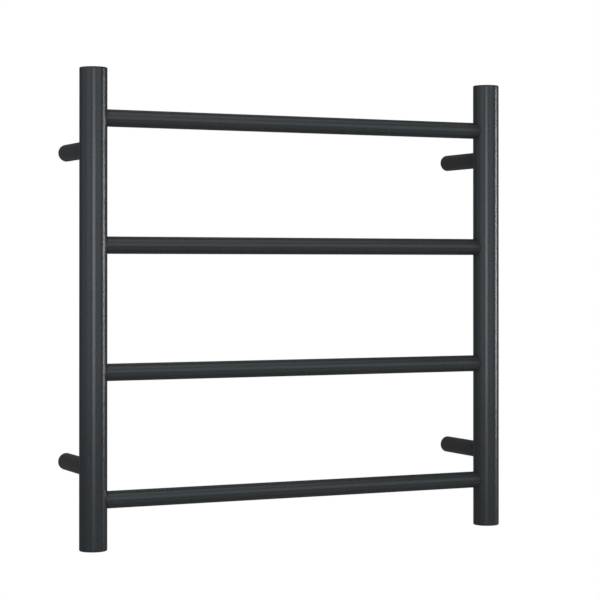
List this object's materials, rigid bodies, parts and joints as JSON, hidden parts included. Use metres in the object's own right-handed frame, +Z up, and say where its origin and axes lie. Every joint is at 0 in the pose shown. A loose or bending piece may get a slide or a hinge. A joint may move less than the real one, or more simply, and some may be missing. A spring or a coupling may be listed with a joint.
{
  "type": "towel warmer rack",
  "caption": "Wall-mounted electric towel warmer rack of round satin black tube: two uprights, cross rungs and four posts that slide over wall bosses.",
  "frame": {"origin": "centre of the four wall-screw holes, in the plane of the wall", "axes": "+Z up, +X to the right seen from the room, +Y into the wall; the rack stands out from the wall towards -Y"},
  "size_m": [0.55, 0.114, 0.55],
  "materials": {
    "satin_black_coat": "satin charcoal black coating on stainless steel tube",
    "stainless_steel": "turned and left bare",
    "black_oxide_steel": "black oxide",
    "silicone_rubber": "moulded grey silicone",
    "heater_silicone": "extruded white silicone",
    "heat_shrink": "shrunk black sleeve",
    "blue_insulation": "extruded",
    "brown_insulation": "extruded",
    "green_yellow_insulation": "extruded, striped",
    "nylon": "moulded natural nylon",
    "brass": "drawn"
  },
  "bodies": {
    "wall_bosses": {"top_left_wall_boss": "stainless_steel", "top_right_wall_boss": "stainless_steel", "bottom_left_wall_boss": "stainless_steel", "bottom_right_wall_boss": "stainless_steel"},
    "rack": {"bottom_left_post": "satin_black_coat", "bottom_right_post": "satin_black_coat", "bottom_rung": "satin_black_coat", "bottom_rung_left_grommet": "silicone_rubber", "bottom_rung_right_grommet": "silicone_rubber", "cold_joint_sleeve": "heat_shrink", "earth_lead": "green_yellow_insulation", "earth_nut": "stainless_steel", "earth_stud": "stainless_steel", "earth_tag": "brass", "earth_washer": "stainless_steel", "heating_cable": "heater_silicone", "left_bottom_cap": "satin_black_coat", "left_top_cap": "satin_black_coat", "left_upright": "satin_black_coat", "live_tail": "brown_insulation", "lower_rung": "satin_black_coat", "lower_rung_left_grommet": "silicone_rubber", "lower_rung_right_grommet": "silicone_rubber", "return_lead": "blue_insulation", "right_bottom_cap": "satin_black_coat", "right_top_cap": "satin_black_coat", "right_upright": "satin_black_coat", "supply_grommet": "silicone_rubber", "terminal_block": "nylon", "terminal_screws": "stainless_steel", "terminal_tubes": "brass", "thermal_cutout": "heat_shrink", "top_left_post": "satin_black_coat", "top_right_post": "satin_black_coat", "top_rung": "satin_black_coat", "top_rung_left_grommet": "silicone_rubber", "top_rung_right_grommet": "silicone_rubber", "upper_rung": "satin_black_coat", "upper_rung_left_grommet": "silicone_rubber", "upper_rung_right_grommet": "silicone_rubber"},
    "top_left_grub_screw": {"top_left_grub_screw": "black_oxide_steel"},
    "top_right_grub_screw": {"top_right_grub_screw": "black_oxide_steel"},
    "bottom_left_grub_screw": {"bottom_left_grub_screw": "black_oxide_steel"},
    "bottom_right_grub_screw": {"bottom_right_grub_screw": "black_oxide_steel"}
  },
  "joints": [
    {"name": "rack_slides_off_bosses", "type": "slide", "parent": "wall_bosses", "child": "rack", "axis": [0, -1, 0], "range_m": [0, 0.032]},
    {"name": "top_left_grub_screw_travel", "type": "slide", "parent": "rack", "child": "top_left_grub_screw", "axis": [0, 0, -1], "range_m": [0, 0.003]},
    {"name": "top_right_grub_screw_travel", "type": "slide", "parent": "rack", "child": "top_right_grub_screw", "axis": [0, 0, -1], "range_m": [0, 0.003]},
    {"name": "bottom_left_grub_screw_travel", "type": "slide", "parent": "rack", "child": "bottom_left_grub_screw", "axis": [0, 0, -1], "range_m": [0, 0.003]},
    {"name": "bottom_right_grub_screw_travel", "type": "slide", "parent": "rack", "child": "bottom_right_grub_screw", "axis": [0, 0, -1], "range_m": [0, 0.003]}
  ]
}
